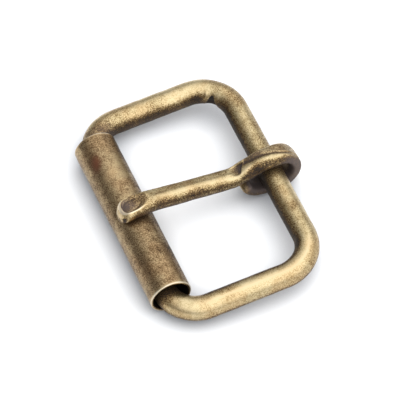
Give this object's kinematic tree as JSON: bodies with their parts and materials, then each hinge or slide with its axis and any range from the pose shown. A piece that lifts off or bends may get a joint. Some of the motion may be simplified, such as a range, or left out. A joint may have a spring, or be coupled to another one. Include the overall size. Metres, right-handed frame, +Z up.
{
  "type": "roller buckle",
  "caption": "Rounded rectangular wire strap buckle with a sheet metal roller on one bar and a swinging tongue hung on the other.",
  "frame": {"origin": "middle of the bounding box, on the surface that the buckle lies on", "axes": "+X from the roller bar to the heel bar, +Y along both bars, +Z up from the surface"},
  "size_m": [0.0366, 0.0486, 0.0101],
  "materials": {
    "frame_brass": "antique brass plating over wire, worn golden on the raised sides and dark in the hollows",
    "roller_brass": "antique brass plating over rolled sheet, browner and more matt than the frame",
    "tongue_brass": "antique brass plating over formed wire, worn along its ridges and dark in its groove"
  },
  "bodies": {
    "frame": {"frame": "frame_brass"},
    "roller": {"roller": "roller_brass"},
    "tongue": {"tongue": "tongue_brass"}
  },
  "joints": [
    {"name": "roller_spin", "type": "hinge", "parent": "frame", "child": "roller", "pos_m": [-0.01438, -0.00014, 0.00388], "axis": [0, 1, 0], "continuous": true},
    {"name": "tongue_swing", "type": "hinge", "parent": "frame", "child": "tongue", "pos_m": [0.01229, 0, 0.00474], "axis": [0, 1, 0], "range_deg": [0, 175]}
  ]
}
